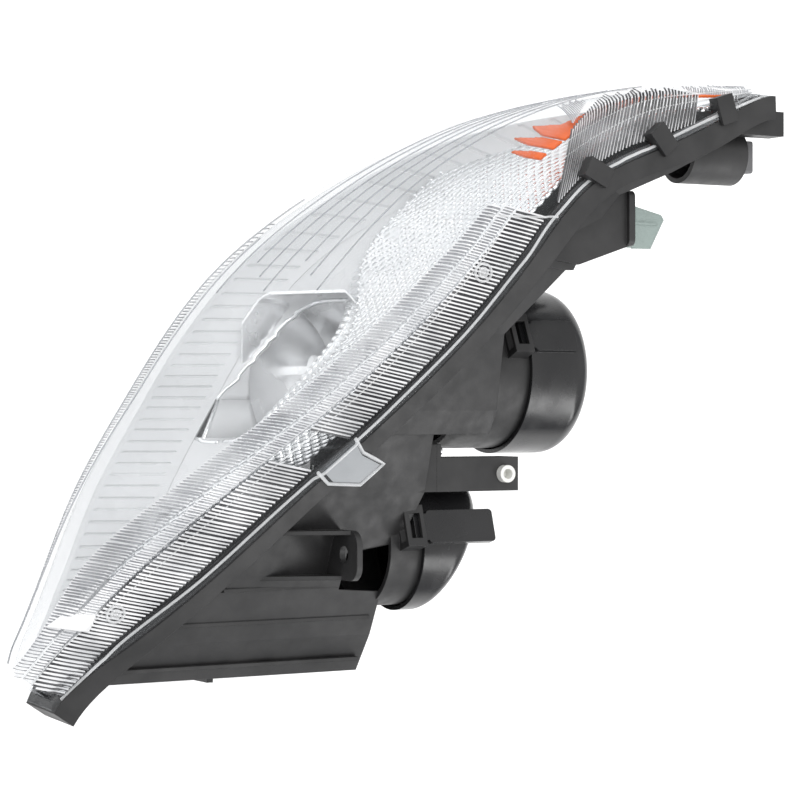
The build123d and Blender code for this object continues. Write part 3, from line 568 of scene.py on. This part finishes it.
def add_clear(mesh, *materials, smooth=True):
    return add_piece(mesh, "housing", materials, smooth)


def add_trim(mesh, *materials, smooth=True):
    return add_piece(mesh, "housing", materials, smooth)


# ---- Lens details -------------------------------------------------------------------------------

SEAM_X = -2.0                  # where the ribs of the top wall change direction
INNER_RIB = Vector((-0.20, -0.98, 0)).normalized()
OUTER_RIB = Vector((-0.97, 0.22, 0)).normalized()
OUTER_RIB_SHARE = 0.74         # how much narrower the ribs are past the seam
LEAST_SLANT = 0.45             # least share of a rib's length that counts as going ahead
RIB_LEAN = 0.15
RIB_END = 0.25                 # height of a rib's ends, as a share of its full height
RIB_RISE = 2.5                 # how fast it rises from there to its full height

# Each row of ribs on the top wall: first and last station, pitch along the rim (also a rib's width),
# where its ribs start and end as shares of the wall's width, their sections' spacing, their height
# and the material of their shaded side, which is painted shade.
RibRow = namedtuple("RibRow", "name start end pitch near far step height shade")
RIB_ROWS = [
    RibRow("lens_wall_prisms", 0.25, 10.8, 2.6, 0.10, 0.60, 3.0, 0.8, "prism_painted_shade"),
    RibRow("lens_wall_fine_prisms", 0.4, 10.6, 1.9, 0.64, 0.80, 2.0, 0.45, "prism_painted_half_shade"),
    RibRow("lens_crest_teeth", 0.4, 10.6, 2.3, 0.84, 1.02, 1.5, 0.7, "prism_painted_half_shade"),
]

# Moulded lines on the top wall: share of its width, offset ahead, lift and radius.
WALL_LINES = {
    "lens_lip_bead": (0, 1.75, -0.3, 0.9),
    "lens_wall_bead": (0.62, 0, 0, 0.5),
    "lens_crest_bead": (0.82, 0, 0, 0.4),
}
WALL_LINE_START, WALL_LINE_END = 0.1, 10.9
LINE_PITCH = 4.0


def wall_rib(s, row):
    """A rib's sections on the lens's top wall, from the rim towards the crest."""
    inner = s.x > SEAM_X
    along = INNER_RIB if inner else OUTER_RIB
    width = row.pitch * (1 if inner else OUTER_RIB_SHARE)
    ahead = (point(s, 1, 0) - point(s, 0, 0)).normalized()
    reach = s.crest / max(along.dot(ahead), LEAST_SLANT)
    origin = point(s, 0, s.top)
    steps = max(2, int((row.far - row.near) * reach / row.step))
    run = []
    for k in range(steps + 1):
        share = row.near + (row.far - row.near) * k / steps
        hit = drop_on_lens(origin + along * (share * reach * MM))
        if hit is None:
            break
        height = row.height * min(1.0, RIB_END + RIB_RISE * min(k, steps - k) / steps)
        run.append(ring_of(*hit, along, width, height, RIB_LEAN))
    return run


def make_wall_ribs(looks):
    for row in RIB_ROWS:
        runs = [wall_rib(station(t), row) for t in evenly(row.start, row.end, row.pitch)]
        # One flank of each rib is painted shade and its other faces painted highlight.
        add_clear(ridge_mesh(row.name, runs), looks[row.shade], looks["prism_painted_highlight"], smooth=False)


def make_wall_lines(looks):
    for name, (share, offset, lift, radius) in WALL_LINES.items():
        line = []
        for t in evenly(WALL_LINE_START, WALL_LINE_END, LINE_PITCH):
            s = station(t)
            hit = drop_on_lens(point(s, s.crest * share + offset, s.top))
            if hit:
                line.append(hit[0] + hit[1] * lift * MM)
        add_clear(tube_mesh(name, [line], radius), looks["bead"])


TAB_CENTRE, TAB_SLOPE = Vector((138.0, -184.5, -11.3)), math.radians(20.5)
TAB_OUTLINE = [(7, -13), (14, -5), (15, 16), (2, 29), (-5, 14), (-13.5, 7.5)]
TAB_WALL = 2.2
TAB_RIM_RADIUS = 1.1
TAB_FIELD_SHARE = 0.84         # size of the frosted field in the tab
TAB_FIELD_HEIGHTS = (0.3, -0.1)


def tab_point(x, y, height):
    """A point over the clear tab's own sloping plane."""
    across = Vector((math.cos(TAB_SLOPE), 0, -math.sin(TAB_SLOPE)))
    up = Vector((math.sin(TAB_SLOPE), 0, math.cos(TAB_SLOPE)))
    return (TAB_CENTRE + across * x + Vector((0, y, 0)) + up * height) * MM


def make_tab_rim(looks):
    """The rim round the free sides of the lens's clear tab, bright with painted highlight."""
    points = [tab_point(x, y, TAB_WALL / 2) for x, y in TAB_OUTLINE]
    path = [p + (q - p) * f for p, q in zip(points, points[1:]) for f in (0, 0.33, 0.66)] + [points[-1]]
    add_clear(tube_mesh("lens_tab_rim", [path], TAB_RIM_RADIUS), looks["bead"])


def make_tab_field(looks):
    """The frosted field inside the tab's rim."""
    middle = [sum(values) / len(TAB_OUTLINE) for values in zip(*TAB_OUTLINE)]
    field = [[m + (v - m) * TAB_FIELD_SHARE for v, m in zip(corner, middle)] for corner in TAB_OUTLINE]
    verts = [tab_point(x, y, TAB_WALL + height) for height in TAB_FIELD_HEIGHTS for x, y in field]
    n = len(field)
    faces = [tuple(range(n)), tuple(reversed(range(n, 2 * n)))]
    faces += [(i, n + i, n + (i + 1) % n, (i + 1) % n) for i in range(n)]
    add_clear(listed_mesh("lens_tab_field", verts, faces), looks["frosted"], smooth=False)


# ---- Turn signal's pillowed reflector -----------------------------------------------------------

# How far the band lies inside the crest, and how far it reaches from the crest towards the foot, at
# whole stations.
BAND_INSET = {2: 13, 3: 14, 4: 14, 5: 14, 6: 20, 7: 28, 8: 26, 9: 18, 10: 12}
BAND_REACH = {2: 0.28, 3: 0.27, 4: 0.27, 5: 0.27, 6: 0.5, 7: 0.68, 8: 0.85, 9: 0.85, 10: 0.8}
BAND_START, BAND_END = 2.0, 10.0
BAND_REAR = 12                 # how far its rear edge lies ahead of the rim
BAND_FLAT = 2                  # least width of its flat part behind its crest
BAND_DROP = 9                  # how far its crest lies below the rim's top edge
BAND_DROP_SHARE = 0.3          # and the most of it, as a share of the face's height
BAND_WALL = 1.2
PILLOW = 4.4
PILLOW_DIAGONAL = 1.414
PILLOW_HEIGHT = 1.5
PILLOW_ROUNDNESS = 0.6
PILLOW_OUT = Vector((0, -0.4, 0.9)).normalized()
PILLOW_GRID = 0.7


def keyed(table, t):
    """A value of a table at a station value, smooth between its rows."""
    low, high = min(table), max(table)
    t = max(low, min(high, t))
    i = min(int(t), high - 1)
    row = [table[max(low, min(high, k))] for k in (i - 1, i, i + 1, i + 2)]
    return smooth_between(*row, t - i)


def band_point(t, across):
    """On the band: 0 is its rear top edge, then over its crest and down to its lower edge at 1.
    Gives the place in the station's plane, the band's width there and the station."""
    s = station(t)
    inset, reach = keyed(BAND_INSET, t), keyed(BAND_REACH, t)
    crest_z = s.top - CREST_DRAFT
    drop = min(BAND_DROP, BAND_DROP_SHARE * (crest_z - s.low))
    rear = Vector((min(BAND_REAR, s.crest - inset - BAND_FLAT), s.top - drop))
    crest = Vector((s.crest - inset, s.top - drop))
    low = Vector((s.crest + reach * (s.foot - s.crest) - inset, crest_z + reach * (s.low - crest_z)))
    flat_width, slope = (crest - rear).length, (low - crest).length
    done = across * (flat_width + slope)
    if done < flat_width:
        place = rear + (crest - rear) * (done / flat_width)
    else:
        place = crest + (low - crest) * ((done - flat_width) / slope)
    return place, flat_width + slope, s


def pillow_height(run, done):
    """The height of round pillows set diagonally, at a distance along and across the band."""
    u, v = run / PILLOW, done / PILLOW
    waves = [abs(math.sin(math.pi * w / PILLOW_DIAGONAL)) for w in (u + v, u - v)]
    return PILLOW_HEIGHT * (waves[0] * waves[1]) ** PILLOW_ROUNDNESS


def make_turn_reflector(looks):
    values = evenly(BAND_START, BAND_END, PILLOW_GRID)
    columns = int(max(band_point(t, 0)[1] for t in values[::10]) / PILLOW_GRID)
    rows = []
    for k, t in enumerate(values):
        row = []
        for c in range(columns + 1):
            place, width, s = band_point(t, c / columns)
            height = pillow_height(k * PILLOW_GRID, width * c / columns)
            row.append(point(s, place.x, place.y) + PILLOW_OUT * height * MM)
        rows.append(row)
    piece = add_trim(sheet_mesh("turn_signal_pillows", rows, BAND_WALL), looks["silver"])
    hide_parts("turn_signal_reflector")


# ---- Shelf, liner and bowls' mouths -------------------------------------------------------------

FIN_PITCH = 9.4
FIN_GROOVE, FIN_DEPTH = 1.5, 1.1
FIN_START, FIN_END = 0.1, 0.84                 # across the shelf
FIN_RISE, PLAIN_RISE = 0.5, 0.25               # of a fin from groove to groove, and beside the fins
SHELF_START, SHELF_END = 1.0, 9.6
SHELF_GRID, SHELF_COLUMNS = 0.75, 30
SHELF_INSET = 10                               # of its front edge behind the foot
SHELF_REACH, SHELF_REACH_SHARE = 37, 0.5       # of its depth, and the most of it for the foot
# How far its front edge lies over the foot, and its back edge over its front edge: the most of each,
# and its growth with the face's height.
SHELF_LIFT, SHELF_LIFT_BASE, SHELF_LIFT_SHARE = 11, 3, 0.25
SHELF_RISE, SHELF_RISE_SHARE = 22, 0.3
SHELF_WALL = 1.6
NOSE_SHARE, NOSE_DROP = 0.06, 2.2              # the shelf's rounded front edge

Mouth = namedtuple("Mouth", "x z half_x half_z front")
MOUTHS = {
    "low": Mouth(86.0, -88.0, 42.0, 32.0, -187.0),
    "high": Mouth(191.0, -80.0, 23.0, 11.5, -259.0),
}
MOUTH_STEPS = 96
MOUTH_EDGE_RADIUS = 1.4
THROAT_STEPS, THROAT_WALL = 8, 1.0
LEAST_THROAT = 2.0
LINER_START, LINER_END = 1.2, 9.6
LINER_GRID, LINER_COLUMNS = 1.4, 70
LINER_DISH, LINER_WALL = 7.0, 1.4
BEFORE_LAMP = -0.45                            # in metres: ahead of the whole lamp
MOUTH_GUESS = -0.2                             # in metres: about where an outline's first point lies

STEP_START, STEP_END = 2.1, 7.4
STEP_PITCH = FIN_PITCH * 0.55
STEP_SECTIONS, STEP_REACH = 8, 0.20            # the steps' share of the liner
STEP_WIDTH, STEP_HEIGHT, STEP_FALL = 4.6, 2.2, 0.2
BAND_BEAD_PLACE, BAND_BEAD_AHEAD = 0.985, 0.8
BAND_BEAD_RADIUS, BAND_BEAD_STRETCH = 1.7, 1.5
BAND_BEAD_RISE = 0.4


def shelf_ends(s):
    """The finned shelf's front and back edge in a station's plane."""
    height = s.top - CREST_DRAFT - s.low
    lift = min(SHELF_LIFT, SHELF_LIFT_SHARE * height + SHELF_LIFT_BASE)
    rise = min(SHELF_RISE, SHELF_RISE_SHARE * height)
    reach = min(SHELF_REACH, SHELF_REACH_SHARE * s.foot)
    nose = Vector((s.foot - SHELF_INSET, s.low + lift))
    return nose, nose + Vector((-reach, rise))


def make_shelf(looks):
    """The shelf below the bowls, with a groove between each pair of fins."""
    rows = []
    for k, t in enumerate(evenly(SHELF_START, SHELF_END, SHELF_GRID)):
        s = station(t)
        front, back = shelf_ends(s)
        forward = forward_of(back - front)
        phase = (k * SHELF_GRID) % FIN_PITCH
        row = []
        for c in range(SHELF_COLUMNS + 1):
            across = c / SHELF_COLUMNS
            height = PLAIN_RISE
            if FIN_START < across < FIN_END:
                height = FIN_RISE * phase / FIN_PITCH - (FIN_DEPTH if phase < FIN_GROOVE else 0)
            height -= NOSE_DROP * max(0, NOSE_SHARE - across) / NOSE_SHARE
            flat = front + (back - front) * across + forward * height
            row.append(point(s, flat.x, flat.y))
        rows.append(row)
    piece = add_trim(sheet_mesh("bezel_fins", rows, SHELF_WALL), looks["panel"], smooth=False)
    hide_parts("bezel")


def liner_point(t, across):
    """On the wall between the shelf's back edge and the pillowed band's lower edge."""
    s = station(t)
    back = shelf_ends(s)[1]
    chord = band_point(max(t, BAND_START), 1)[0] - back
    flat = back + chord * across - forward_of(chord) * LINER_DISH * 4 * across * (1 - across)
    return point(s, flat.x, flat.y)


def in_mouth(p):
    return any(((p.x / MM - m.x) / m.half_x) ** 4 + ((p.z / MM - m.z) / m.half_z) ** 4 < 1
               for m in MOUTHS.values())


def mouth_path(mouth, wall):
    """A mouth's outline, a square with rounded sides, as it lies on the wall round it."""
    path = []
    for k in range(MOUTH_STEPS + 1):
        u, v = math.cos(math.tau * k / MOUTH_STEPS), math.sin(math.tau * k / MOUTH_STEPS)
        reach = (u ** 4 + v ** 4) ** -0.25
        p = Vector((mouth.x + mouth.half_x * reach * u, 0, mouth.z + mouth.half_z * reach * v)) * MM
        near = wall.ray_cast(Vector((p.x, BEFORE_LAMP, p.z)), Vector((0, 1, 0)))[0]
        if near is None:
            near = wall.find_nearest(Vector((p.x, path[-1].y if path else MOUTH_GUESS, p.z)))[0]
        path.append(near)
    return path


def make_mouth(name, mouth, wall, looks):
    """A rolled edge round a bowl's mouth, and a throat from there back to the bowl."""
    path = mouth_path(mouth, wall)
    throat = []
    for p in path:
        depth = max(mouth.front * MM - p.y, LEAST_THROAT * MM)
        throat.append([p + Vector((0, depth * c / THROAT_STEPS, 0)) for c in range(THROAT_STEPS + 1)])
    add_trim(sheet_mesh(f"{name}_bowl_throat", throat, THROAT_WALL), looks["panel"])
    add_trim(tube_mesh(f"{name}_bowl_edge", [path], MOUTH_EDGE_RADIUS), looks["silver"])


def make_liner(looks):
    """The bright wall round the bowls' mouths."""
    rows = [[liner_point(t, c / LINER_COLUMNS) for c in range(LINER_COLUMNS + 1)]
            for t in evenly(LINER_START, LINER_END, LINER_GRID)]
    mesh = sheet_mesh("inner_liner", rows, LINER_WALL, lambda p, r, c: not in_mouth(p))
    add_trim(mesh, looks["panel"])
    wall = tree_of(mesh)
    for name, mouth in MOUTHS.items():
        make_mouth(name, mouth, wall, looks)


def step_fin(t):
    """One fluted step, from the pillowed band's edge down into the liner."""
    run = []
    for k in range(STEP_SECTIONS + 1):
        across = 1.0 - STEP_REACH * k / STEP_SECTIONS
        p = liner_point(t, across)
        along = (liner_point(t, across - 0.01) - p).normalized()
        normal = (liner_point(t + 0.01, across) - p).cross(along).normalized()
        if normal.y > 0:
            normal = -normal
        run.append(ring_of(p, normal, along, STEP_WIDTH, STEP_HEIGHT - STEP_FALL * k))
    return run


def make_step_fins(looks):
    fins = [step_fin(t) for t in evenly(STEP_START, STEP_END, STEP_PITCH)]
    add_trim(ridge_mesh("liner_step_fins", fins), looks["silver"], looks["panel"], smooth=False)


def make_band_beads(looks):
    """Round beads along the pillowed band's lower edge."""
    beads = []
    for t in evenly(STEP_START, SHELF_END, STEP_PITCH):
        place, s = band_point(t, BAND_BEAD_PLACE)[::2]
        direction = point(s, 1, BAND_BEAD_RISE) - point(s, 0, 0)
        beads.append((point(s, place.x + BAND_BEAD_AHEAD, place.y), direction))
    mesh = bead_mesh("band_edge_beads", beads, BAND_BEAD_RADIUS, BAND_BEAD_STRETCH)
    add_trim(mesh, looks["silver"])


# ---- Amber side reflex --------------------------------------------------------------------------

# Each tongue: station of its middle, its reach from the crest, and half its width in stations.
AMBER_TONGUES = [(8.30, 0.34, 0.10), (8.08, 0.30, 0.07), (7.86, 0.20, 0.05)]
AMBER_START, AMBER_END, AMBER_WIDTH = 8.20, 10.3, 0.17
AMBER_INSET, AMBER_WALL = 6.0, 1.5
AMBER_FLUTE, AMBER_FLUTE_TURN = 0.35, 0.8      # depth, and turn from row to row
GRID_START, GRID_STEP, GRID_ROWS = 7.7, 0.014, 190
GRID_REACH, GRID_COLUMNS = 0.45, 90


def is_amber(t, across):
    """True on the long strip by the crest and on the tongues at its front end."""
    if AMBER_START < t < AMBER_END and across < AMBER_WIDTH:
        return True
    return any(abs(t - middle) < half and across < reach * (1 - 0.5 * abs(t - middle) / half)
               for middle, reach, half in AMBER_TONGUES)


def make_amber(looks):
    values = [GRID_START + GRID_STEP * k for k in range(GRID_ROWS)]
    shares = [GRID_REACH * c / GRID_COLUMNS for c in range(GRID_COLUMNS + 1)]
    rows = []
    for r, t in enumerate(values):
        inset = AMBER_INSET + AMBER_FLUTE * abs(math.sin(r * AMBER_FLUTE_TURN))
        rows.append([face_point(station(t), across, inset) for across in shares])
    mesh = sheet_mesh("side_reflex_strip", rows, AMBER_WALL, lambda p, r, c: is_amber(values[r], shares[c]))
    piece = add_piece(mesh, "housing", [looks["amber"]], smooth=True)
    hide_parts("side_reflex")


# ---- Lines and teeth on the lens's face ---------------------------------------------------------

OUTSIDE = -3.0                                 # inset of a place just outside the face
FOOT_LINES = [(0.925, 0.3, 6.4), (0.985, 0.3, 7.0)]        # share of the face, first and last station
FOOT_LINE_RADIUS = 0.5
TOOTH_START, TOOTH_END, TOOTH_PITCH = 0.4, 6.6, 2.2
TOOTH_PLACE, TOOTH_REACH, TOOTH_SECTIONS = 0.94, 0.035, 3
TOOTH_WIDTH, TOOTH_HEIGHT = 1.4, 0.35
STREAKS, STREAK_RADIUS = 7, 0.45
STREAK_PLACE, STREAK_GAP = 0.42, 0.075         # shares of the face
STREAK_START, STREAK_END = 5.6, 9.4
START_STAGGER, END_STAGGER = 0.2, 0.25
SEAM_STATION, SEAM_SECTIONS, SEAM_STEP = 6.95, 20, 2.2
SEAM_WAVE, SEAM_WAVE_SECTIONS = 0.3, 5
SEAM_LIFT, SEAM_RADIUS = 0.6, 0.7

BOSSES = [(5.84, 20.0), (1.50, 26.0)]          # station, and how far ahead of the rim
BOSS_RINGS = (5.2, 2.6)
BOSS_STEPS = 32
BOSS_RING_RADIUS = 0.8
BOSS_DOME_RADIUS, BOSS_DOME_STRETCH = 2.2, 0.7


def on_face(t, across):
    """The lens's outer surface at a share of the way from crest to foot, and its normal."""
    return LENS.find_nearest(face_point(station(t), across, OUTSIDE))[:2]


def face_line(across, start, end):
    return [on_face(t, across)[0] for t in evenly(start, end, LINE_PITCH)]


def make_foot_lines(looks):
    lines = [face_line(*line) for line in FOOT_LINES]
    add_clear(tube_mesh("lens_foot_lines", lines, FOOT_LINE_RADIUS), looks["line"])


def make_foot_teeth(looks):
    """Short ribs along the foot, between its two lines."""
    teeth = []
    for t in evenly(TOOTH_START, TOOTH_END, TOOTH_PITCH):
        run = []
        for k in range(TOOTH_SECTIONS + 1):
            across = TOOTH_PLACE + TOOTH_REACH * k / TOOTH_SECTIONS
            p, normal = on_face(t, across)
            along = (on_face(t, across + 0.005)[0] - p).normalized()
            run.append(ring_of(p, normal, along, TOOTH_WIDTH, TOOTH_HEIGHT))
        teeth.append(run)
    # One flank of each tooth is painted half shade and its other faces painted highlight.
    mesh = ridge_mesh("lens_foot_teeth", teeth)
    add_clear(mesh, looks["prism_painted_half_shade"], looks["prism_painted_highlight"], smooth=False)


def make_streaks(looks):
    """Moulded lines on the face towards its outer corner, with staggered ends."""
    streaks = [face_line(STREAK_PLACE + STREAK_GAP * k, STREAK_START + START_STAGGER * (k % 3),
                         STREAK_END - END_STAGGER * (k % 4)) for k in range(STREAKS)]
    add_clear(tube_mesh("lens_corner_streaks", streaks, STREAK_RADIUS), looks["line"])


def make_seam(looks):
    """The line across the top wall where its ribs change direction."""
    s = station(SEAM_STATION)
    seam = []
    for k in range(SEAM_SECTIONS):
        along = Vector((0, -1.0, SEAM_WAVE * math.sin(k / SEAM_WAVE_SECTIONS))) * k * SEAM_STEP * MM
        hit = drop_on_lens(point(s, 1, s.top) + along)
        if hit:
            seam.append(hit[0] + hit[1] * SEAM_LIFT * MM)
    add_clear(tube_mesh("lens_seam", [seam], SEAM_RADIUS), looks["bead"])


def make_bosses(looks):
    """Round moulded bosses on the top wall: two rings with a dome inside."""
    rings, domes = [], []
    turns = [math.tau * k / BOSS_STEPS for k in range(BOSS_STEPS + 1)]
    for t, ahead in BOSSES:
        s = station(t)
        centre, normal = drop_on_lens(point(s, ahead, s.top))
        side = normal.orthogonal().normalized()
        other = normal.cross(side)
        for radius in BOSS_RINGS:
            rings.append([centre + (normal * BOSS_RING_RADIUS + (side * math.cos(a) + other * math.sin(a))
                                    * radius) * MM for a in turns])
        domes.append((centre, normal))
    add_clear(tube_mesh("lens_bosses", rings, BOSS_RING_RADIUS), looks["bead"])
    add_clear(bead_mesh("lens_boss_domes", domes, BOSS_DOME_RADIUS, BOSS_DOME_STRETCH), looks["bead"])


# ---- Build --------------------------------------------------------------------------------------

TRANSPARENT_BOUNCES = 24                       # light passes the ribbed lens and the glass many times


def build():
    looks = {**moulded_materials(), **clear_materials(), **metal_materials()}
    make_camera()
    make_world()
    make_lights()
    make_floor(looks["floor"])
    dress_cad(looks)
    make_wall_ribs(looks)
    make_wall_lines(looks)
    make_tab_rim(looks)
    make_tab_field(looks)
    make_turn_reflector(looks)
    make_shelf(looks)
    make_liner(looks)
    make_step_fins(looks)
    make_band_beads(looks)
    make_amber(looks)
    make_foot_lines(looks)
    make_foot_teeth(looks)
    make_streaks(looks)
    make_seam(looks)
    make_bosses(looks)


build()
scene = bpy.context.scene
scene.view_settings.view_transform = "Standard"
scene.cycles.transparent_max_bounces = TRANSPARENT_BOUNCES
